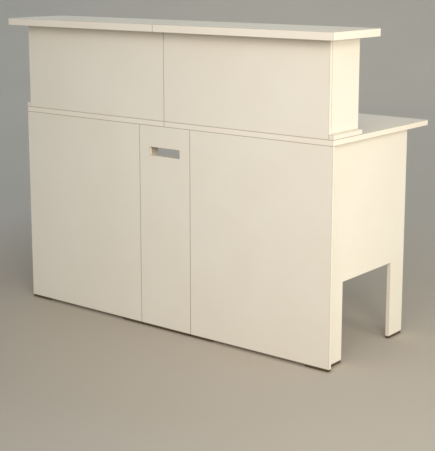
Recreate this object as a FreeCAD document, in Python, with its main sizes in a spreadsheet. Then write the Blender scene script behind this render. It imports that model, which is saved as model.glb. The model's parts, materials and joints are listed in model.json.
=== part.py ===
"""Folding bar counter: a hinged stand, a worktop in halves and a raised bar top on open shelf units.

The frame has +Z up, +X along the front to the customer's right and +Y from the customer to the barkeeper.
Its origin is on the floor, under the middle of the whole counter. All lengths are in millimetres.
"""
import FreeCAD, Part
import math
import os
import re

import Sketcher

VECTOR = FreeCAD.Vector
RIGHT = 1
LEFT = -1

# Driving dimensions: name, value, meaning.
SIZES = [
    ("half_width", 765, "middle of the front to either end"),
    ("centre_half_width", 127.5, "middle of the front to the fold seams"),
    ("seam_gap", 1, "gap between neighbouring boards at a seam"),
    ("board", 15, "thickness of the stand's and the upper unit's boards"),
    ("arris", 0.8, "bevel along every board edge"),
    ("panel_top", 811, "floor to the top of the stand's boards"),
    ("glide_height", 9, "floor to the bottom of the stand's boards"),
    ("glide_length", 105, "length of a glide under a wide front board"),
    ("glide_end_inset", 3, "end of a board to the end of its glide"),
    ("glide_face_inset", 1, "face of a board to the face of its glide"),
    ("side_inset", 24, "end of the front to the outer face of a side board"),
    ("side_rear", 556, "front face to the rear edge of a side board"),
    ("leg_front", 119, "front face to the rear edge of a front leg"),
    ("leg_rear_width", 99, "width of a rear leg"),
    ("cutout_top", 302, "floor to the top of the opening between the legs"),
    ("slot_width", 152, "width of the hand slot"),
    ("slot_low", 695, "floor to the bottom of the hand slot"),
    ("slot_height", 32, "height of the hand slot"),
    ("rib_half_gap", 90, "middle of the front to a rib's inner face"),
    ("rib_depth", 52, "depth of a rib behind the centre board"),
    ("worktop_thickness", 21, "thickness of a worktop half"),
    ("worktop_depth", 672, "depth of the worktop from the front face"),
    ("riser_inset", 18.5, "end of the worktop to the end of the upper unit"),
    ("riser_depth", 190, "front face to the rear of the upper unit"),
    ("riser_height", 342, "worktop to the underside of the bar top"),
    ("base_thickness", 18, "thickness of the upper unit's base board"),
    ("shelf_height", 172, "base board to the underside of the shelf"),
    ("shelf_front_gap", 1, "front board to the shelf"),
    ("shelf_rear_inset", 10, "rear of the upper unit to the rear of the shelf"),
    ("shelf_end_gap", 1, "end board to the end of the shelf"),
    ("bar_top_thickness", 29, "thickness of a bar top half"),
    ("bar_top_end_overhang", 33, "end of the front back to the end of the bar top"),
    ("top_front_overhang", 62, "front face to the front edge of the bar top"),
    ("bar_top_depth", 304, "front to rear of the bar top"),
    ("hinge_height", 60, "height of one hinge"),
    ("hinge_low", 90, "floor to the bottom of the lowest hinge"),
    ("hinge_pitch", 290, "distance from one hinge to the next above it"),
    ("leaf_thickness", 1.5, "thickness of a hinge leaf"),
    ("leaf_width", 21, "hinge axis to the free edge of a leaf"),
    ("knuckle_radius", 4, "radius of the rolled knuckle"),
    ("hinge_pin_radius", 2, "radius of a hinge pin"),
    ("hinge_pin_play", 0.05, "radial play between a hinge pin and its knuckles"),
    ("knuckle_play", 0.3, "play between neighbouring knuckles"),
    ("screw_from_axis", 13, "hinge axis to the hinge screws"),
    ("screw_edge", 12, "end of a hinge to its nearest screw"),
    ("screw_radius", 1.6, "radius of a screw's shank"),
    ("screw_length", 11, "length of a screw in the board"),
    ("screw_head_radius", 3.2, "radius of a screw's head"),
    ("screw_head_height", 1.6, "height of a screw's head"),
    ("screw_head_taper", 20, "slope of a screw head's rim, in degrees"),
    ("screw_play", 0.1, "radial play of a screw in its leaf"),
    ("leaf_overlap", 1, "length of leaf between a knuckle's clearance and its root in the plate"),
    ("hinge_count", 3, "hinges on one seam"),
    ("pin_radius", 4, "radius of a locating pin"),
    ("pin_seat", 14, "depth of a locating pin in the board that holds it"),
    ("pin_rise", 8, "height of a locating pin above its board"),
    ("pin_play", 0.3, "play round a locating pin in the board that lifts off"),
    ("pin_end_play", 1, "play above a locating pin"),
    ("centre_pin_from_middle", 60, "middle of the front to a pin in the centre board"),
    ("riser_pin_from_middle", 100, "middle of the front to the inner upper unit pin"),
    ("riser_pin_from_end", 100, "end of the worktop to the outer upper unit pin"),
    ("dowel_radius", 3, "radius of a joining dowel"),
    ("dowel_deep", 20, "depth of a dowel in the edge of a board"),
    ("dowel_shallow", 8, "depth of a dowel in the face of a board"),
    ("dowel_from_edge", 40, "edge of a joint to its first dowel"),
    ("shelf_pin_radius", 2.5, "radius of a shelf pin"),
    ("shelf_pin_seat", 8, "depth of a shelf pin in the end board"),
    ("shelf_pin_reach", 9, "length of a shelf pin under the shelf"),
    ("shelf_pin_inset", 30, "edge of the shelf to its nearest pin"),
]
NAMES = {name for name, value, meaning in SIZES}

doc = FreeCAD.newDocument("FoldingBar")
sheet = doc.addObject("Spreadsheet::Sheet", "Sizes")
for row, (name, value, meaning) in enumerate(SIZES, start=1):
    sheet.set("A%d" % row, meaning)
    sheet.set("B%d" % row, str(value))
    sheet.setAlias("B%d" % row, name)
doc.recompute()

# Planes of the counter, as formulas of the sizes. FRONT is the y of the front faces.
FRONT = "((top_front_overhang - worktop_depth) / 2)"
BOARD_BACK = f"({FRONT} + board)"
SIDE_OUTER = "(half_width - side_inset)"
SIDE_INNER = f"({SIDE_OUTER} - board)"
WORKTOP_TOP = "(panel_top + worktop_thickness)"
BASE_TOP = f"({WORKTOP_TOP} + base_thickness)"
BAR_TOP_LOW = f"({WORKTOP_TOP} + riser_height)"
RISER_END = "(half_width - riser_inset)"
RISER_REAR = f"({FRONT} + riser_depth)"
MIDDLE = "(seam_gap / 2)"
SEAM_IN = "(centre_half_width - seam_gap / 2)"
SEAM_OUT = "(centre_half_width + seam_gap / 2)"
SHELF_LOW = f"({BASE_TOP} + shelf_height)"
SHELF_REAR = f"({RISER_REAR} - shelf_rear_inset)"
SIDE_REAR = f"({FRONT} + side_rear)"
LEG_FRONT = f"({FRONT} + leg_front)"
LEG_REAR = f"({SIDE_REAR} - leg_rear_width)"
WORKTOP_REAR = f"({FRONT} + worktop_depth)"
BASE_MIDDLE = f"({WORKTOP_TOP} + base_thickness / 2)"
RIB_MIDDLE = "(rib_half_gap + board / 2)"
RIB_PIN_Y = f"({BOARD_BACK} + rib_depth / 2 + dowel_deep / 2)"
PANEL_PIN_Y = f"({FRONT} + board / 2)"
HINGE_Y = f"({BOARD_BACK} + knuckle_radius)"
HINGE_TOP = "(hinge_low + hinge_height)"
KNUCKLE_ROOT = "(knuckle_radius + knuckle_play + leaf_overlap)"
KNUCKLE_LOW = "(hinge_low + hinge_height / 3)"
KNUCKLE_HIGH = "(hinge_low + 2 * hinge_height / 3)"
RISER_PINS = [("riser_pin_from_middle", f"({FRONT} + riser_depth / 2)", WORKTOP_TOP),
              ("(half_width - riser_pin_from_end)", f"({FRONT} + riser_depth / 2)", WORKTOP_TOP)]


def linked(formula):
    """Return the formula as an expression that reads the sheet."""
    def cell(word):
        return "Sizes." + word.group() if word.group() in NAMES else word.group()
    return re.sub(r"[a-z_]+", cell, formula)


def number(formula):
    """Return the present value of a formula."""
    return float(sheet.evalExpression(linked(formula)))


class Piece:
    """A body whose sketches are placed in the counter's frame, on the right or mirrored to the left.

    place is the lowest corner of the piece, in the frame, when the piece is on the right; span is its
    width along X, which the mirrored piece needs to find its own lowest corner.
    """

    def __init__(self, label, place, span="0", side=RIGHT):
        self.body = doc.addObject("PartDesign::Body", label)
        self.body.Label = label
        self.body.AllowCompound = True
        self.side = side
        self.span = span
        self.place = place
        self.place_by_formula()

    def place_by_formula(self):
        """Tie the body's place to its corner."""
        corner = list(self.place)
        if self.side == LEFT:
            corner[0] = f"-({corner[0]} + ({self.span}))"
        for axis, formula in zip("xyz", corner):
            self.body.setExpression("Placement.Base." + axis, linked(formula))

    def local(self, axis, formula):
        """Turn a coordinate of the frame into one of this piece."""
        start = self.place["XYZ".index(axis)]
        if axis == "X" and self.side == LEFT:
            return f"({start} + ({self.span}) - ({formula}))"
        return f"({formula} - ({start}))"

    def sketch(self, normal, level):
        """Start a sketch on the plane across an axis, at a coordinate of the frame."""
        role, sign = {"Z": ("XY_Plane", ""), "Y": ("XZ_Plane", "-"), "X": ("YZ_Plane", "")}[normal]
        sketch = self.body.newObject("Sketcher::SketchObject", self.body.Label + "_sketch")
        planes = self.body.Origin.OriginFeatures
        sketch.AttachmentSupport = [(plane, "") for plane in planes if plane.Role == role]
        sketch.MapMode = "FlatFace"
        sketch.setExpression("AttachmentOffset.Base.z", linked(sign + self.local(normal, level)))
        return sketch

    def flat(self, normal, point):
        """Return a point's two sketch coordinates as formulas."""
        axes = {"Z": "XY", "Y": "XZ", "X": "YZ"}[normal]
        return [self.local(axis, point["XYZ".index(axis)]) for axis in axes]

    def circles(self, normal, points, radius):
        """Sketch circles of one radius round points of the frame."""
        level = points[0]["XYZ".index(normal)]
        sketch = self.sketch(normal, level)
        for point in points:
            across, up = self.flat(normal, point)
            centre = VECTOR(number(across), number(up), 0)
            circle = sketch.addGeometry(Part.Circle(centre, VECTOR(0, 0, 1), number(radius)))
            fix(sketch, Sketcher.Constraint("Radius", circle, number(radius)), radius)
            fix(sketch, Sketcher.Constraint("DistanceX", -1, 1, circle, 3, centre.x), across)
            fix(sketch, Sketcher.Constraint("DistanceY", -1, 1, circle, 3, centre.y), up)
        return sketch

    def rectangle(self, normal, level, low, high):
        """Sketch a rectangle between two corners of the frame."""
        sketch = self.sketch(normal, level)
        corner = self.flat(normal, low)
        far = self.flat(normal, high)
        if normal != "X" and self.side == LEFT:
            corner[0], far[0] = far[0], corner[0]
        u0, v0 = (number(formula) for formula in corner)
        u1, v1 = (number(formula) for formula in far)
        outline(sketch, [(u0, v0), (u1, v0), (u1, v1), (u0, v1)])
        for line, kind in enumerate(["Horizontal", "Vertical", "Horizontal", "Vertical"]):
            sketch.addConstraint(Sketcher.Constraint(kind, line))
        fix(sketch, Sketcher.Constraint("DistanceX", -1, 1, 0, 1, u0), corner[0])
        fix(sketch, Sketcher.Constraint("DistanceY", -1, 1, 0, 1, v0), corner[1])
        fix(sketch, Sketcher.Constraint("DistanceX", -1, 1, 2, 1, u1), far[0])
        fix(sketch, Sketcher.Constraint("DistanceY", -1, 1, 2, 1, v1), far[1])
        return sketch

    def extrude(self, kind, sketch, length, toward, normal):
        """Pad or pocket a sketch toward the plus (1) or minus (-1) end of its normal axis."""
        feature = self.body.newObject("PartDesign::" + kind, self.body.Label + "_" + kind.lower())
        feature.Profile = sketch
        feature.setExpression("Length", linked(length))
        along = toward if normal != "Y" else -toward
        feature.Reversed = (along < 0) == (kind == "Pad")
        self.body.Tip = feature
        return feature

    def bevel(self):
        """Take the arris off every outward corner made so far."""
        doc.recompute()
        solid = self.body.Tip
        feature = self.body.newObject("PartDesign::Chamfer", self.body.Label + "_arris")
        feature.Base = (solid, outward_edges(solid.Shape))
        feature.setExpression("Size", linked("arris"))
        self.body.Tip = feature

    def drill(self, normal, points, radius, depth, toward):
        """Drill blind holes from points on a face."""
        toward = self.turned(normal, toward)
        return self.extrude("Pocket", self.circles(normal, points, radius), depth, toward, normal)

    def rods(self, normal, points, radius, length, toward):
        """Add round rods that start at points."""
        toward = self.turned(normal, toward)
        return self.extrude("Pad", self.circles(normal, points, radius), length, toward, normal)

    def turned(self, normal, toward):
        """Mirror a direction along X for a piece on the left."""
        return toward * self.side if normal == "X" else toward


def outward_edges(shape):
    """Name the edges of a flat-faced shape that stick out; inner corners are left alone."""
    names = []
    for index, edge in enumerate(shape.Edges, start=1):
        middle = edge.CenterOfMass
        first, second = [face.normalAt(0, 0) for face in shape.ancestorsOfType(edge, Part.Face)]
        if not shape.isInside(middle + (first - second) * 0.1, 0.001, True):
            names.append("Edge%d" % index)
    return names


def fix(sketch, constraint, formula):
    """Add a constraint and tie its value to a formula."""
    index = sketch.addConstraint(constraint)
    sketch.setExpression("Constraints[%d]" % index, linked(formula))


def outline(sketch, points):
    """Add a closed outline of straight lines."""
    count = len(points)
    for index in range(count):
        start = VECTOR(*points[index], 0)
        end = VECTOR(*points[(index + 1) % count], 0)
        sketch.addGeometry(Part.LineSegment(start, end))
    for index in range(count):
        sketch.addConstraint(Sketcher.Constraint("Coincident", index, 2, (index + 1) % count, 1))


def board(label, low, high, side=RIGHT):
    """Make a bevelled rectangular board between two corners of the frame, given for the right side."""
    span = f"({high[0]} - {low[0]})"
    piece = Piece(label, low, span, side)
    sketch = piece.rectangle("Z", low[2], low, high)
    piece.extrude("Pad", sketch, f"{high[2]} - {low[2]}", 1, "Z")
    return piece


def cut(piece, normal, low, high):
    """Cut a rectangular block out of a piece, between two corners of the frame."""
    axis = "XYZ".index(normal)
    sketch = piece.rectangle(normal, low[axis], low, high)
    toward = piece.turned(normal, 1)
    piece.extrude("Pocket", sketch, f"{high[axis]} - {low[axis]}", toward, normal)


def spaced(first, last, count):
    """Return formulas for evenly spaced coordinates from first to last."""
    return [f"({first} + ({last} - {first}) * {step} / {count - 1})" for step in range(count)]


# --- Hinges ------------------------------------------------------------------------------------------

def hinge_part(label, axis, side, turned):
    """Start a piece of a hinge, placed on the hinge's axis; a turned one lies along a side board."""
    piece = Piece(label, (axis[0], axis[1], "0"), "0", side)
    if turned:
        piece.body.Placement.Rotation = FreeCAD.Rotation(VECTOR(0, 0, 1), 90 * side)
        piece.place_by_formula()
    return piece


def repeat_up(piece, features):
    """Copy the pieces of the lowest hinge to the others on the same seam."""
    pattern = piece.body.newObject("PartDesign::LinearPattern", piece.body.Label + "_row")
    pattern.Originals = features
    axes = piece.body.Origin.OriginFeatures
    pattern.Direction = ([axis for axis in axes if axis.Role == "Z_Axis"][0], [""])
    pattern.setExpression("Occurrences", linked("hinge_count"))
    pattern.setExpression("Length", linked("hinge_pitch * (hinge_count - 1)"))
    piece.body.Tip = pattern


def knuckle_profile(piece, level, reach):
    """Sketch a leaf that ends in a rolled knuckle round the hinge axis; reach is +1 or -1 along X."""
    sketch = piece.sketch("Z", level)
    radius = number("knuckle_radius")
    plate_top = number("leaf_thickness") - radius
    root = math.sqrt(radius ** 2 - plate_top ** 2)
    tip = number(KNUCKLE_ROOT)
    corners = [(0, -radius), (reach * tip, -radius), (reach * tip, plate_top), (reach * root, plate_top)]
    points = [VECTOR(x, y, 0) for x, y in corners]
    for first, second in zip(points, points[1:]):
        sketch.addGeometry(Part.LineSegment(first, second))
    turn = math.asin(plate_top / radius)
    start, end = (turn, 1.5 * math.pi) if reach > 0 else (-math.pi / 2, math.pi - turn)
    circle = Part.Circle(VECTOR(0, 0, 0), VECTOR(0, 0, 1), radius)
    arc = sketch.addGeometry(Part.ArcOfCircle(circle, start, end))
    low_end, root_end = (2, 1) if reach > 0 else (1, 2)
    for first, first_end, second, second_end in [
            (0, 2, 1, 1), (1, 2, 2, 1), (2, 2, arc, root_end), (0, 1, arc, low_end), (arc, 3, -1, 1)]:
        sketch.addConstraint(Sketcher.Constraint("Coincident", first, first_end, second, second_end))
    for line, kind in enumerate(["Horizontal", "Vertical", "Horizontal"]):
        sketch.addConstraint(Sketcher.Constraint(kind, line))
    sketch.addConstraint(Sketcher.Constraint("PointOnObject", 0, 1, -2))
    fix(sketch, Sketcher.Constraint("Radius", arc, radius), "knuckle_radius")
    sign = "" if reach > 0 else "-"
    fix(sketch, Sketcher.Constraint("DistanceX", -1, 1, 1, 1, reach * tip), sign + KNUCKLE_ROOT)
    fix(sketch, Sketcher.Constraint("DistanceY", 1, 1, 1, 2, radius + plate_top), "leaf_thickness")
    bore = "(hinge_pin_radius + hinge_pin_play)"
    hole = sketch.addGeometry(Part.Circle(VECTOR(0, 0, 0), VECTOR(0, 0, 1), number(bore)))
    sketch.addConstraint(Sketcher.Constraint("Coincident", hole, 3, -1, 1))
    fix(sketch, Sketcher.Constraint("Radius", hole, number(bore)), bore)
    return sketch


def leaves(label, axis, side, reach, knuckles, turned=False):
    """Make the leaves of one seam: a plate, its knuckles and its two screw holes, repeated upwards.

    reach is +1 for a leaf that points outward from the axis and -1 for one that points inward.
    """
    piece = hinge_part(label, axis, side, turned)
    near = f"({axis[0]} + {reach} * (knuckle_radius + knuckle_play))"
    far = f"({axis[0]} + {reach} * leaf_width)"
    inner, outer = (near, far) if reach > 0 else (far, near)
    low = (inner, f"({axis[1]} - knuckle_radius)", "hinge_low")
    high = (outer, f"({axis[1]} - knuckle_radius + leaf_thickness)", HINGE_TOP)
    features = [piece.extrude("Pad", piece.rectangle("Z", low[2], low, high), "hinge_height", 1, "Z")]
    for start, end in knuckles:
        profile = knuckle_profile(piece, start, reach * side)
        features.append(piece.extrude("Pad", profile, f"{end} - {start}", 1, "Z"))
    holes = [(x, high[1], z) for x, y, z in screw_points(axis, reach)]
    features.append(piece.drill("Y", holes, "screw_radius + screw_play", "leaf_thickness", -1))
    repeat_up(piece, features)


def screw_points(axis, reach):
    """Return where the two screws of the lowest hinge enter the board, before any turn."""
    across = f"({axis[0]} + {reach} * screw_from_axis)"
    face = f"({axis[1]} - knuckle_radius)"
    return [(across, face, height) for height in ("(hinge_low + screw_edge)", f"({HINGE_TOP} - screw_edge)")]


def screws(label, axis, side, reach, turned=False):
    """Make the pan-head screws that hold the leaves of one seam."""
    piece = hinge_part(label, axis, side, turned)
    seats = [(x, f"({y} + leaf_thickness)", z) for x, y, z in screw_points(axis, reach)]
    head = piece.rods("Y", seats, "screw_head_radius", "screw_head_height", 1)
    head.setExpression("TaperAngle", linked("-screw_head_taper"))
    shank = piece.rods("Y", seats, "screw_radius", "leaf_thickness + screw_length", -1)
    repeat_up(piece, [head, shank])


def hinge_pins(label, axis, side):
    """Make the pins that the knuckles of one seam turn on."""
    piece = hinge_part(label, axis, side, False)
    foot = [(axis[0], axis[1], "hinge_low")]
    repeat_up(piece, [piece.rods("Z", foot, "hinge_pin_radius", "hinge_height", 1)])


def pilot_holes(piece, normal, points, toward):
    """Drill the screw holes of every hinge on a seam into a board."""
    rows = [f" + {step} * hinge_pitch" for step in range(int(number("hinge_count")))]
    holes = [(x, y, "(" + z + row + ")") for row in rows for x, y, z in points]
    piece.drill(normal, holes, "screw_radius", "screw_length", toward)


def hinge(name, side, axis, fixed_board, moving_board, corner):
    """Make one seam's hinges and drill the two boards that they join."""
    label = ("left_" if side == LEFT else "right_") + name
    outer_knuckles = [("hinge_low", f"({KNUCKLE_LOW} - knuckle_play)"),
                      (f"({KNUCKLE_HIGH} + knuckle_play)", HINGE_TOP)]
    leaves(label + "_fixed_leaves", axis, side, -1, outer_knuckles)
    leaves(label + "_moving_leaves", axis, side, 1, [(KNUCKLE_LOW, KNUCKLE_HIGH)], corner)
    hinge_pins(label + "_pins", axis, side)
    screws(label + "_fixed_screws", axis, side, -1)
    screws(label + "_moving_screws", axis, side, 1, corner)
    pilot_holes(fixed_board, "Y", mirrored_for(fixed_board, side, screw_points(axis, -1)), -1)
    if corner:
        along = [(f"({axis[0]} + knuckle_radius)", f"({axis[1]} + screw_from_axis)", z)
                 for x, y, z in screw_points(axis, 1)]
        pilot_holes(moving_board, "X", along, 1)
    else:
        pilot_holes(moving_board, "Y", screw_points(axis, 1), -1)


def mirrored_for(piece, side, points):
    """Mirror points for a left hinge on a board that is not mirrored itself."""
    if side == piece.side:
        return points
    return [(f"(-{x})", y, z) for x, y, z in points]


# --- Stand -------------------------------------------------------------------------------------------

def blocks(label, corners, side=RIGHT):
    """Make separate glides, one for each pair of corners, set in from the board above."""
    first, last = corners[0][0], corners[-1][1]
    piece = Piece(label, (first[0], first[1], "0"), f"({last[0]} - {first[0]})", side)
    for low, high in corners:
        piece.extrude("Pad", piece.rectangle("Z", "0", low, high), "glide_height", 1, "Z")


def centre_column():
    """Make the centre board with its hand slot, two ribs, their dowels, the glide and the worktop pins."""
    corner = (f"(-{SEAM_IN})", FRONT, "glide_height")
    panel = board("centre_panel", corner, (SEAM_IN, BOARD_BACK, "panel_top"))
    slot_low = ("(-slot_width / 2)", FRONT, "slot_low")
    slot_high = ("(slot_width / 2)", BOARD_BACK, "(slot_low + slot_height)")
    cut(panel, "Y", slot_low, slot_high)
    panel.bevel()

    rib_rear = f"({BOARD_BACK} + rib_depth)"
    heights = spaced("(glide_height + dowel_from_edge)", "(panel_top - dowel_from_edge)", 3)
    seats = [(RIB_MIDDLE, BOARD_BACK, height) for height in heights]
    for side, label in ((LEFT, "left_centre_rib"), (RIGHT, "right_centre_rib")):
        low = ("rib_half_gap", BOARD_BACK, "glide_height")
        rib = board(label, low, ("(rib_half_gap + board)", rib_rear, "panel_top"), side)
        rib.bevel()
        rib.drill("Y", seats, "dowel_radius", "dowel_deep", 1)
        rib.drill("Z", [(RIB_MIDDLE, RIB_PIN_Y, "panel_top")], "pin_radius", "pin_seat", -1)
    both = seats + [(f"(-{x})", y, z) for x, y, z in seats]
    panel.drill("Y", both, "dowel_radius", "dowel_shallow", -1)
    dowels = Piece("centre_rib_dowels", corner)
    starts = [(x, f"({y} - dowel_shallow)", z) for x, y, z in both]
    dowels.rods("Y", starts, "dowel_radius", "dowel_shallow + dowel_deep", 1)

    panel_pins = [("centre_pin_from_middle", PANEL_PIN_Y, "panel_top"),
                  ("(-centre_pin_from_middle)", PANEL_PIN_Y, "panel_top")]
    panel.drill("Z", panel_pins, "pin_radius", "pin_seat", -1)
    rib_pins = [(RIB_MIDDLE, RIB_PIN_Y, "panel_top"), (f"(-{RIB_MIDDLE})", RIB_PIN_Y, "panel_top")]
    pins = Piece("worktop_locating_pins", corner)
    feet = [(x, y, f"({z} - pin_seat)") for x, y, z in panel_pins + rib_pins]
    pins.rods("Z", feet, "pin_radius", "pin_seat + pin_rise", 1)
    blocks("centre_glide", [glide_corners(corner[0], SEAM_IN, FRONT, BOARD_BACK)])
    return panel


def glide_corners(x_low, x_high, y_low, y_high):
    """Return a glide's corners: inset at its ends along the board and at the board's faces."""
    return ((f"({x_low} + glide_end_inset)", f"({y_low} + glide_face_inset)", "0"),
            (f"({x_high} - glide_end_inset)", f"({y_high} - glide_face_inset)", "0"))


def wing(side, name, centre_panel):
    """Make a wide front board, the side board behind its end, their glides and both hinge lines."""
    low = (SEAM_OUT, FRONT, "glide_height")
    front = board(name + "_front_panel", low, ("half_width", BOARD_BACK, "panel_top"), side)
    front.bevel()
    inner_run = glide_corners(SEAM_OUT, f"({SEAM_OUT} + glide_length)", FRONT, BOARD_BACK)
    outer_run = glide_corners("(half_width - glide_length)", "half_width", FRONT, BOARD_BACK)
    blocks(name + "_front_glides", [inner_run, outer_run], side)

    side_low = (SIDE_INNER, BOARD_BACK, "glide_height")
    panel = board(name + "_side_panel", side_low, (SIDE_OUTER, SIDE_REAR, "panel_top"), side)
    cut(panel, "X", (SIDE_INNER, LEG_FRONT, "glide_height"), (SIDE_OUTER, LEG_REAR, "cutout_top"))
    panel.bevel()
    legs = [(BOARD_BACK, LEG_FRONT), (LEG_REAR, SIDE_REAR)]
    foot_low = f"({SIDE_INNER} + glide_face_inset)"
    foot_high = f"({SIDE_OUTER} - glide_face_inset)"
    feet = [((foot_low, f"({start} + glide_end_inset)", "0"), (foot_high, f"({end} - glide_end_inset)", "0"))
            for start, end in legs]
    blocks(name + "_side_glides", feet, side)

    hinge("fold_hinge", side, ("centre_half_width", HINGE_Y), centre_panel, front, False)
    hinge("corner_hinge", side, (f"({SIDE_INNER} - knuckle_radius)", HINGE_Y), front, panel, True)


# --- Worktop and upper unit --------------------------------------------------------------------------

def worktop(side, name):
    """Make one half of the worktop, which drops over the stand's pins and holds the upper unit's."""
    low = (MIDDLE, FRONT, "panel_top")
    top = board(name + "_worktop", low, ("half_width", WORKTOP_REAR, WORKTOP_TOP), side)
    top.bevel()
    below = [("centre_pin_from_middle", PANEL_PIN_Y, "panel_top"), (RIB_MIDDLE, RIB_PIN_Y, "panel_top")]
    top.drill("Z", below, "pin_radius + pin_play", "pin_rise + pin_end_play", 1)
    top.drill("Z", RISER_PINS, "pin_radius", "pin_seat", -1)
    pins = Piece(name + "_riser_pins", low, f"(half_width - {MIDDLE})", side)
    feet = [(x, y, f"({z} - pin_seat)") for x, y, z in RISER_PINS]
    pins.rods("Z", feet, "pin_radius", "pin_seat + pin_rise", 1)


def riser(side, name):
    """Make one half of the upper unit: base, front, two ends, a shelf on pins, dowels and the bar top."""
    low = (MIDDLE, FRONT, WORKTOP_TOP)
    base = board(name + "_riser_base", low, ("half_width", RISER_REAR, BASE_TOP), side)
    cut(base, "Z", low, (RISER_END, BOARD_BACK, BASE_TOP))
    base.bevel()
    base.drill("Z", RISER_PINS, "pin_radius + pin_play", "pin_rise + pin_end_play", 1)
    front = board(name + "_riser_front", low, (RISER_END, BOARD_BACK, BAR_TOP_LOW), side)
    front.bevel()
    ends = []
    for part, x_low in (("_riser_inner_end", MIDDLE), ("_riser_end", f"({RISER_END} - board)")):
        end_low = (x_low, BOARD_BACK, BASE_TOP)
        end = board(name + part, end_low, (f"({x_low} + board)", RISER_REAR, BAR_TOP_LOW), side)
        end.bevel()
        ends.append((end, x_low))
    shelf_low = (f"({MIDDLE} + board + shelf_end_gap)", f"({BOARD_BACK} + shelf_front_gap)", SHELF_LOW)
    shelf_high = (f"({RISER_END} - board - shelf_end_gap)", SHELF_REAR, f"({SHELF_LOW} + board)")
    board(name + "_riser_shelf", shelf_low, shelf_high, side).bevel()
    top_front = f"({FRONT} - top_front_overhang)"
    top_rear = f"({top_front} + bar_top_depth)"
    top_end = "(half_width + bar_top_end_overhang)"
    top_high = (top_end, top_rear, f"({BAR_TOP_LOW} + bar_top_thickness)")
    top = board(name + "_bar_top", (MIDDLE, top_front, BAR_TOP_LOW), top_high, side)
    top.bevel()

    span = f"(half_width - {MIDDLE})"
    shelf_pins(Piece(name + "_shelf_pins", low, span, side), ends)
    riser_dowels(Piece(name + "_riser_dowels", low, span, side), base, front, ends, top)


def shelf_pins(pins, ends):
    """Add the pins that carry the shelf, two in each end board."""
    rows = [f"({BOARD_BACK} + shelf_front_gap + shelf_pin_inset)", f"({SHELF_REAR} - shelf_pin_inset)"]
    height = f"({SHELF_LOW} - shelf_pin_radius)"
    length = "shelf_pin_seat + shelf_pin_reach"
    inner, outer = ends
    inner_face = f"({inner[1]} + board)"
    for end, face, toward in ((inner[0], inner_face, 1), (outer[0], outer[1], -1)):
        holes = [(face, row, height) for row in rows]
        end.drill("X", holes, "shelf_pin_radius", "shelf_pin_seat", -toward)
        seats = [(f"({face} - {toward} * shelf_pin_seat)", row, height) for row in rows]
        pins.rods("X", seats, "shelf_pin_radius", length, toward)


def riser_dowels(dowels, base, front, ends, top):
    """Join the upper unit's boards with dowels: shallow in a board's face, deep in a board's edge."""
    length = "dowel_shallow + dowel_deep"
    heights = spaced(f"({BASE_TOP} + dowel_from_edge)", f"({BAR_TOP_LOW} - dowel_from_edge)", 3)
    rows = spaced(f"({BOARD_BACK} + dowel_from_edge)", f"({RISER_REAR} - dowel_from_edge)", 2)
    seam = [(x, BOARD_BACK, BASE_MIDDLE)
            for x in spaced(f"({MIDDLE} + 2 * dowel_from_edge)", f"({RISER_END} - 2 * dowel_from_edge)", 3)]
    base.drill("Y", seam, "dowel_radius", "dowel_deep", 1)
    into_front = list(seam)
    feet = []
    heads = []
    for end, x_low in ends:
        middle = f"({x_low} + board / 2)"
        upright = [(middle, BOARD_BACK, height) for height in heights]
        end.drill("Y", upright, "dowel_radius", "dowel_deep", 1)
        into_front += upright
        low_row = [(middle, row, BASE_TOP) for row in rows]
        high_row = [(middle, row, BAR_TOP_LOW) for row in rows]
        end.drill("Z", low_row, "dowel_radius", "dowel_deep", 1)
        end.drill("Z", high_row, "dowel_radius", "dowel_deep", -1)
        feet += low_row
        heads += high_row
    front.drill("Y", into_front, "dowel_radius", "dowel_shallow", -1)
    base.drill("Z", feet, "dowel_radius", "dowel_shallow", -1)
    top.drill("Z", heads, "dowel_radius", "dowel_shallow", 1)
    dowels.rods("Y", [(x, f"({y} - dowel_shallow)", z) for x, y, z in into_front], "dowel_radius", length, 1)
    dowels.rods("Z", [(x, y, f"({z} - dowel_shallow)") for x, y, z in feet], "dowel_radius", length, 1)
    dowels.rods("Z", [(x, y, f"({z} - dowel_deep)") for x, y, z in heads], "dowel_radius", length, 1)


def check_document():
    """Stop if any object failed or any body is empty or broken."""
    for thing in doc.Objects:
        if "Invalid" in thing.State or "Error" in thing.State:
            raise RuntimeError(thing.Label + " failed: " + str(thing.State))
    for body in bodies():
        if body.Shape.isNull() or not body.Shape.isValid() or body.Shape.Volume <= 0:
            raise RuntimeError(body.Label + " has no sound shape")


def bodies():
    """Return every piece's body."""
    return [thing for thing in doc.Objects if thing.TypeId == "PartDesign::Body"]


column = centre_column()
for hand, side_name in ((LEFT, "left"), (RIGHT, "right")):
    wing(hand, side_name, column)
    worktop(hand, side_name)
    riser(hand, side_name)
doc.recompute()
check_document()

os.makedirs("parts", exist_ok=True)
for body in bodies():
    body.Shape.exportStep("parts/" + body.Label + ".step")
    print(body.Label, len(body.Shape.Solids), "solids", round(body.Shape.Volume / 1000, 1), "cm3")
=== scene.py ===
import json
import math

import bmesh
import bpy
from mathutils import Matrix, Vector

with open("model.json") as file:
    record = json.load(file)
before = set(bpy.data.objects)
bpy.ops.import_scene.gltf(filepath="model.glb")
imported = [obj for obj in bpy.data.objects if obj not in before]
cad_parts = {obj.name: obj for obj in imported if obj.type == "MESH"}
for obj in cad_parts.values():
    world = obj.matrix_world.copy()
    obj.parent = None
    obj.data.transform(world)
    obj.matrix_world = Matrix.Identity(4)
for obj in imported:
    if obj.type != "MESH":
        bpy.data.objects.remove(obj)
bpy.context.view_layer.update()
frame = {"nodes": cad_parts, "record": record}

# Every length is in metres.
MM = 0.001

# --- Colours as they look on screen, 0 to 255 ----------------------------------------------------------

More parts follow.
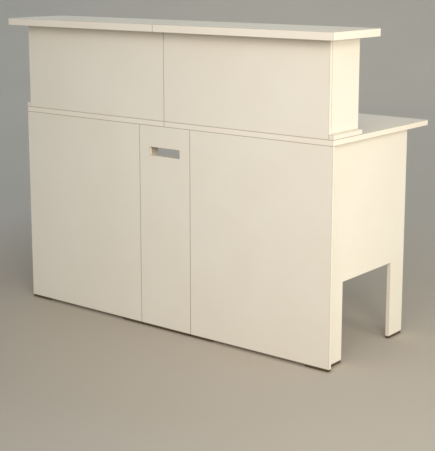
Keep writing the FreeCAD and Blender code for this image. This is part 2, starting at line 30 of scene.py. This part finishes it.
CREAM = (236, 228, 211)
CREAM_WARM = (234, 225, 207)
CREAM_TOP = (241, 231, 213)
CREAM_TOP_WARM = (239, 228, 209)
EDGE_BAND = (184, 173, 152)
# Painted shade for the boards' seams and inside corners.
SEAM_PAINTED_SHADE = (150, 138, 116)
HANDLED = (188, 174, 150)
GLIDE = (86, 71, 51)
GLIDE_WORN = (110, 96, 76)
ZINC = (196, 197, 196)
ZINC_DULL = (160, 162, 164)
BEECH = (203, 165, 120)
BEECH_FIBRE = (168, 124, 82)
PAPER_MARKED = (176, 168, 155)
# Painted contact shadow on the floor around the counter's feet.
PAINTED_CONTACT_SHADOW = (124, 110, 90)

# --- Parts of a noise's range of 0 to 1 that are carried to a whole effect -----------------------------

BROAD = (0.3, 0.7)
CLEAR = (0.35, 0.65)
FIBROUS = (0.35, 0.7)
SCUFFED = (0.5, 0.75)
PATCHED = (0.52, 0.72)

# --- Shader nodes --------------------------------------------------------------------------------------

BEVEL_SAMPLES = 6
OPENNESS_SAMPLES = 8

# The mix node has sockets for every kind of value, and these are the ones for colours.
MIX_FIRST = 6
MIX_SECOND = 7
MIX_RESULT = 2

# The parts of a direction add up to 1 on a square piece's faces and to 1.41 on the middle of an edge.
EDGE_SUMS = (1.02, 1.3)


def srgb(colour):
    """Turn a colour given as it looks on screen into linear light."""
    def linear(value):
        share = value / 255
        return share / 12.92 if share <= 0.04045 else ((share + 0.055) / 1.055) ** 2.4
    return tuple(linear(value) for value in colour) + (1,)


class Shader:
    """One material's nodes: a principled surface and what feeds it."""

    def __init__(self, name):
        self.material = bpy.data.materials.new(name)
        self.material.use_nodes = True
        self.tree = self.material.node_tree
        self.surface = self.tree.nodes["Principled BSDF"]
        self.place = self.add("ShaderNodeTexCoord").outputs["Object"]

    def add(self, kind, **settings):
        """Add a node and set its own options."""
        node = self.tree.nodes.new(kind)
        for option, value in settings.items():
            setattr(node, option, value)
        return node

    def join(self, source, node, socket):
        """Feed a node's input from an output, or set it to a plain value."""
        if isinstance(source, bpy.types.NodeSocket):
            self.tree.links.new(source, node.inputs[socket])
        else:
            node.inputs[socket].default_value = source

    def noise(self, size, detail=2, stretch=(1, 1, 1)):
        """Return noise, 0 to 1, whose lumps are about size long, drawn out along an axis by stretch."""
        scaled = self.add("ShaderNodeMapping")
        self.join(self.place, scaled, "Vector")
        self.join(tuple(1 / factor for factor in stretch), scaled, "Scale")
        texture = self.add("ShaderNodeTexNoise")
        self.join(scaled.outputs["Vector"], texture, "Vector")
        self.join(1 / size, texture, "Scale")
        self.join(detail, texture, "Detail")
        return texture.outputs["Fac"]

    def between(self, value, low, high, out_low=0, out_high=1):
        """Return value carried from low..high to out_low..out_high, and held at the ends."""
        node = self.add("ShaderNodeMapRange")
        for socket, number in (("Value", value), ("From Min", low), ("From Max", high),
                               ("To Min", out_low), ("To Max", out_high)):
            self.join(number, node, socket)
        return node.outputs["Result"]

    def times(self, first, second):
        """Return the product of two values."""
        node = self.add("ShaderNodeMath", operation="MULTIPLY")
        self.join(first, node, 0)
        self.join(second, node, 1)
        return node.outputs["Value"]

    def mix(self, share, first, second):
        """Return a colour that goes from the first to the second as share goes from 0 to 1."""
        node = self.add("ShaderNodeMix", data_type="RGBA")
        self.join(share, node, "Factor")
        for colour, socket in ((first, MIX_FIRST), (second, MIX_SECOND)):
            self.join(srgb(colour) if isinstance(colour, tuple) else colour, node, socket)
        return node.outputs[MIX_RESULT]

    def rounded(self, width):
        """Return the surface's direction with every edge rounded over to width."""
        node = self.add("ShaderNodeBevel", samples=BEVEL_SAMPLES)
        self.join(width, node, "Radius")
        return node.outputs["Normal"]

    def edges(self, rounded):
        """Return 1 on a square piece's edges and 0 on its faces."""
        local = self.add("ShaderNodeVectorTransform", vector_type="NORMAL", convert_from="WORLD",
                         convert_to="OBJECT")
        self.join(rounded, local, "Vector")
        parts = self.add("ShaderNodeVectorMath", operation="ABSOLUTE")
        self.join(local.outputs["Vector"], parts, 0)
        total = self.add("ShaderNodeVectorMath", operation="DOT_PRODUCT")
        self.join(parts.outputs["Vector"], total, 0)
        self.join((1, 1, 1), total, 1)
        return self.between(total.outputs["Value"], *EDGE_SUMS)

    def reach(self):
        """Return the distance from the upright line through the middle of the floor."""
        flat = self.add("ShaderNodeMapping")
        self.join(self.place, flat, "Vector")
        self.join((1, 1, 0), flat, "Scale")
        length = self.add("ShaderNodeVectorMath", operation="LENGTH")
        self.join(flat.outputs["Vector"], length, 0)
        return length.outputs["Value"]

    def along(self, direction):
        """Return how far a point lies along direction from the origin."""
        part = self.add("ShaderNodeVectorMath", operation="DOT_PRODUCT")
        self.join(self.place, part, 0)
        self.join(direction, part, 1)
        return part.outputs["Value"]

    def openness(self, distance):
        """Return 1 in the open and less where something stands within distance."""
        node = self.add("ShaderNodeAmbientOcclusion", samples=OPENNESS_SAMPLES)
        self.join(distance, node, "Distance")
        return node.outputs["AO"]

    def bump(self, height, depth, normal=None):
        """Raise the surface by a height of 0 to 1 times depth, on top of the normal given."""
        node = self.add("ShaderNodeBump")
        self.join(height, node, "Height")
        self.join(depth, node, "Distance")
        if normal is not None:
            self.join(normal, node, "Normal")
        return node.outputs["Normal"]

    def finish(self, colour, roughness, normal):
        """Feed the surface and return the material."""
        self.join(colour, self.surface, "Base Color")
        self.join(roughness, self.surface, "Roughness")
        self.join(normal, self.surface, "Normal")
        return self.material


# --- Boards --------------------------------------------------------------------------------------------

BOARD_EDGE_ROUND = 1.8 * MM
MOTTLE = 0.21
PEARL = 0.9 * MM
PEARL_DEPTH = 0.035 * MM
PEARL_SHARE = 0.16
WAVE = 0.3
WAVE_DEPTH = 0.25 * MM
HAND_MARKS = 0.05
HAND_MARKS_SHARE = 0.45
# Painted shade in the boards' seams and inside corners: how near another part must be, and how far that
# darkens the colour.
PAINTED_SHADE_REACH = 6 * MM
PAINTED_SHADE_OPENNESS = (0.45, 0.85)
PAINTED_SHADE_SHARE = 0.1
WIPE_MARKS = 0.03
WIPE_STRETCH = (9, 1, 1)
WIPED_SMOOTHER = 0.05
WIPED_ROUGHER = 0.06
FRONT_ROUGHNESS = 0.42
TOP_ROUGHNESS = 0.39


def board_material(name, cream, warm, roughness):
    """Make melamine-faced board: faint mottle, fine pearl grain, banded edges that hands have dulled, and
    painted shade in its seams and inside corners.
    """
    shader = Shader(name)
    rounded = shader.rounded(BOARD_EDGE_ROUND)
    edge = shader.edges(rounded)
    mottle = shader.between(shader.noise(MOTTLE, detail=3), *CLEAR)
    pearl = shader.noise(PEARL, detail=3)
    mottled = shader.mix(mottle, cream, warm)
    face = shader.mix(shader.between(pearl, *BROAD, 0, PEARL_SHARE), mottled, warm)
    banded = shader.mix(edge, face, EDGE_BAND)
    rubbed = shader.between(shader.noise(HAND_MARKS, detail=5), *PATCHED, 0, HAND_MARKS_SHARE)
    handled = shader.mix(shader.times(edge, rubbed), banded, HANDLED)
    # Painted shade: seams and inside corners, where another part stands within a few millimetres, are
    # darkened in the colour.
    painted_seam_shade = shader.between(shader.openness(PAINTED_SHADE_REACH), *PAINTED_SHADE_OPENNESS, PAINTED_SHADE_SHARE, 0)
    colour = shader.mix(painted_seam_shade, handled, SEAM_PAINTED_SHADE)
    wipes = shader.noise(WIPE_MARKS, detail=4, stretch=WIPE_STRETCH)
    wiped = shader.between(wipes, *BROAD, roughness - WIPED_SMOOTHER, roughness + WIPED_ROUGHER)
    grained = shader.bump(pearl, PEARL_DEPTH, rounded)
    waved = shader.bump(shader.noise(WAVE, detail=1), WAVE_DEPTH, grained)
    return shader.finish(colour, wiped, waved)


# --- Glides, hinges, pins, screws and dowels -----------------------------------------------------------

GLIDE_EDGE_ROUND = 0.8 * MM
GLIDE_SCUFFS = 9 * MM
GLIDE_GRAIN = 0.6 * MM
GLIDE_GRAIN_DEPTH = 0.08 * MM
GLIDE_ROUGHNESS = (0.5, 0.66)

ZINC_EDGE_ROUND = 0.35 * MM
ZINC_CLOUDS = 6 * MM
ROLLING = 0.35 * MM
ROLLING_STRETCH = (1, 1, 14)
ROLLING_DEPTH = 0.01 * MM
ZINC_ROUGHNESS = (0.26, 0.42)

FIBRES = 0.8 * MM
FIBRE_STRETCH = (6, 1, 1)
FIBRE_DEPTH = 0.1 * MM
BEECH_ROUGHNESS = (0.55, 0.7)


def glide_material():
    """Make the dark moulded plastic of the glides: fine leather grain, paler on its scuffed edges."""
    shader = Shader("dark_glide")
    rounded = shader.rounded(GLIDE_EDGE_ROUND)
    edge = shader.edges(rounded)
    scuffed = shader.between(shader.noise(GLIDE_SCUFFS, detail=4), *SCUFFED)
    colour = shader.mix(shader.times(edge, scuffed), GLIDE, GLIDE_WORN)
    grain = shader.noise(GLIDE_GRAIN, detail=3)
    roughness = shader.between(grain, *BROAD, *GLIDE_ROUGHNESS)
    return shader.finish(colour, roughness, shader.bump(grain, GLIDE_GRAIN_DEPTH, rounded))


def zinc_material():
    """Make zinc plate on steel: a fine rolled grain, dull clouds and a soft edge."""
    shader = Shader("zinc_steel")
    clouds = shader.between(shader.noise(ZINC_CLOUDS, detail=4), *CLEAR)
    colour = shader.mix(clouds, ZINC, ZINC_DULL)
    rolled = shader.noise(ROLLING, stretch=ROLLING_STRETCH)
    roughness = shader.between(rolled, *BROAD, *ZINC_ROUGHNESS)
    shader.join(1.0, shader.surface, "Metallic")
    rounded = shader.rounded(ZINC_EDGE_ROUND)
    return shader.finish(colour, roughness, shader.bump(rolled, ROLLING_DEPTH, rounded))


def beech_material():
    """Make plain beech for the dowels, with short fibres."""
    shader = Shader("beech_dowel")
    fibre = shader.noise(FIBRES, detail=4, stretch=FIBRE_STRETCH)
    colour = shader.mix(shader.between(fibre, *FIBROUS), BEECH, BEECH_FIBRE)
    roughness = shader.between(fibre, *BROAD, *BEECH_ROUGHNESS)
    return shader.finish(colour, roughness, shader.bump(fibre, FIBRE_DEPTH))


def dress_nodes():
    """Give every CAD node the material of its slot in the record."""
    looks = {
        "cream_board": board_material("cream_board", CREAM, CREAM_WARM, FRONT_ROUGHNESS),
        "top_board": board_material("top_board", CREAM_TOP, CREAM_TOP_WARM, TOP_ROUGHNESS),
        "dark_glide": glide_material(),
        "zinc_steel": zinc_material(),
        "beech_dowel": beech_material(),
    }
    for entry in frame["record"]["subparts"]:
        mesh = frame["nodes"][entry["node"]].data
        mesh.materials.clear()
        mesh.materials.append(looks[entry["material_slot"]])


# --- Camera: where the photograph was taken from, in its own pixels ------------------------------------

IMAGE_HEIGHT = 451
FOCAL_PIXELS = 1138.1
HORIZON_ROW = 180.4

# The sensor's longer side in millimetres, which is upright as the picture's is.
SENSOR = 36
CAMERA_PLACE = (2.845, -3.551, 1.424)
CAMERA_YAW = math.radians(38.52)
CAMERA_PITCH = math.radians(-10.78)
PICTURE_RIGHT = (math.cos(CAMERA_YAW), math.sin(CAMERA_YAW), 0)


def camera():
    """Stand the camera where the photograph was taken from, with its lens."""
    lens = bpy.data.cameras.new("camera")
    lens.sensor_width = SENSOR
    lens.lens = FOCAL_PIXELS * SENSOR / IMAGE_HEIGHT
    lens.shift_y = (HORIZON_ROW - IMAGE_HEIGHT / 2) / IMAGE_HEIGHT
    holder = bpy.data.objects.new("camera", lens)
    turn = Matrix.Rotation(CAMERA_YAW, 4, "Z") @ Matrix.Rotation(math.pi / 2 + CAMERA_PITCH, 4, "X")
    holder.matrix_world = Matrix.Translation(CAMERA_PLACE) @ turn
    bpy.context.scene.collection.objects.link(holder)
    bpy.context.scene.camera = holder


# --- Studio --------------------------------------------------------------------------------------------

FLOOR_RADIUS = 9
SWEEP_RADIUS = 4
WALL_HEIGHT = 7
SWEEP_STEPS = 16
ROUND_STEPS = 96

# The floor and backdrop's tone, with painted light and shade: darker near the counter and towards its
# left, where its shadow falls, and lighter far off and to the right. Each row gives the distance from the
# middle, where its left and right ends are, and the colour at each end.
PAPER_AND_PAINTED_SHADE = (
    (1.1, -1.1, 0.3, (169, 158, 143), (190, 178, 161)),
    (2.3, -2.0, 0.5, (189, 183, 173), (200, 190, 175)),
    (FLOOR_RADIUS, -3.0, 0.5, (212, 206, 197), (230, 220, 205)),
)
PAPER_CLOUDS = 1.7
PAPER_CLOUD_SHARE = 0.12
PAPER_TOOTH = 3 * MM
PAPER_TOOTH_DEPTH = 0.1 * MM
PAPER_ROUGHNESS = 0.85
# Painted contact shadow on the floor: how near the counter must be, and how much of that nearness darkens
# it.
PAINTED_SHADOW_REACH = 0.03
PAINTED_SHADOW_OPENNESS = (0.1, 0.9)


def studio_material():
    """Make the matt floor and backdrop: painted light and shade in its tone, faint clouds, and a painted
    contact shadow where the counter stands on it.
    """
    shader = Shader("studio_paper")
    across = shader.along(PICTURE_RIGHT)
    reach = shader.reach()
    distances = [distance for distance, *_ in PAPER_AND_PAINTED_SHADE]
    painted_shade_tones = [shader.mix(shader.between(across, left, right), left_colour, right_colour)
             for _, left, right, left_colour, right_colour in PAPER_AND_PAINTED_SHADE]
    # Painted light and shade: the tone darkens towards the counter and its left, and lightens far off and
    # to the right.
    painted_shade_paper = painted_shade_tones[0]
    for inner, outer, tone in zip(distances, distances[1:], painted_shade_tones[1:]):
        painted_shade_paper = shader.mix(shader.between(reach, inner, outer), painted_shade_paper, tone)
    cloud = shader.between(shader.noise(PAPER_CLOUDS, detail=3), *BROAD, 0, PAPER_CLOUD_SHARE)
    marked = shader.mix(cloud, painted_shade_paper, PAPER_MARKED)
    # Painted contact shadow: the floor darkens where the counter stands within a few centimetres.
    clear_of_painted_shadow = shader.between(shader.openness(PAINTED_SHADOW_REACH), *PAINTED_SHADOW_OPENNESS)
    colour = shader.mix(clear_of_painted_shadow, PAINTED_CONTACT_SHADOW, marked)
    tooth = shader.noise(PAPER_TOOTH)
    return shader.finish(colour, PAPER_ROUGHNESS, shader.bump(tooth, PAPER_TOOTH_DEPTH))


def studio_profile():
    """Return the floor, the sweep and the wall as points, each a distance from the middle and a height."""
    profile = [(0, 0), (FLOOR_RADIUS, 0)]
    for step in range(1, SWEEP_STEPS + 1):
        angle = math.pi / 2 * step / SWEEP_STEPS
        distance = FLOOR_RADIUS + SWEEP_RADIUS * math.sin(angle)
        profile.append((distance, SWEEP_RADIUS * (1 - math.cos(angle))))
    profile.append((FLOOR_RADIUS + SWEEP_RADIUS, WALL_HEIGHT))
    return profile


def studio():
    """Make a round floor that sweeps up into a wall all the way round."""
    shape = bmesh.new()
    points = [shape.verts.new((distance, 0, height)) for distance, height in studio_profile()]
    lines = [shape.edges.new(pair) for pair in zip(points, points[1:])]
    bmesh.ops.spin(shape, geom=points + lines, cent=(0, 0, 0), axis=(0, 0, 1), angle=2 * math.pi,
                   steps=ROUND_STEPS)
    bmesh.ops.remove_doubles(shape, verts=shape.verts, dist=MM)
    bmesh.ops.recalc_face_normals(shape, faces=shape.faces)
    mesh = bpy.data.meshes.new("studio_floor")
    shape.to_mesh(mesh)
    shape.free()
    for face in mesh.polygons:
        face.use_smooth = True
    mesh.materials.append(studio_material())
    floor = bpy.data.objects.new("studio_floor", mesh)
    bpy.context.scene.collection.objects.link(floor)


# --- Light ---------------------------------------------------------------------------------------------

# Each lamp's name, place, width, colour and watts. All of them face the same place on the counter.
LAMPS = (
    ("key", (3.2, -2.6, 2.2), 1.6, (1.0, 0.97, 0.93), 13.6),
    ("front", (1.9, -3.9, 2.2), 1.6, (1.0, 0.94, 0.94), 7.9),
    ("side", (4.6, -0.4, 1.2), 1.6, (1.0, 0.99, 0.92), 11.9),
    ("fill", (-3.0, -5.0, 1.3), 2.6, (0.2, 0.5, 1.0), 2.0),
)
LAMP_AIM = (0.15, 0, 0.69)
LAMP_SPREAD = math.radians(70)
SKY = (0.555, 0.612, 0.658)


def facing(direction):
    """Return the turn that makes a lamp look along direction."""
    return direction.to_track_quat("-Z", "Y").to_matrix().to_4x4()


def lamp(name, place, width, colour, watts):
    """Hang a square soft box that faces the counter, and that neither camera nor gloss shows."""
    light = bpy.data.lights.new(name, "AREA")
    light.size = width
    light.color = colour
    light.energy = watts
    light.spread = LAMP_SPREAD
    holder = bpy.data.objects.new(name, light)
    holder.matrix_world = Matrix.Translation(place) @ facing(Vector(LAMP_AIM) - Vector(place))
    holder.visible_camera = False
    holder.visible_glossy = False
    bpy.context.scene.collection.objects.link(holder)


def sky():
    """Light the whole scene evenly from all round."""
    world = bpy.data.worlds.new("studio_air")
    world.use_nodes = True
    world.node_tree.nodes["Background"].inputs["Color"].default_value = SKY + (1,)
    bpy.context.scene.world = world


dress_nodes()
studio()
for settings in LAMPS:
    lamp(*settings)
sky()
camera()
bpy.context.scene.view_settings.view_transform = "Standard"
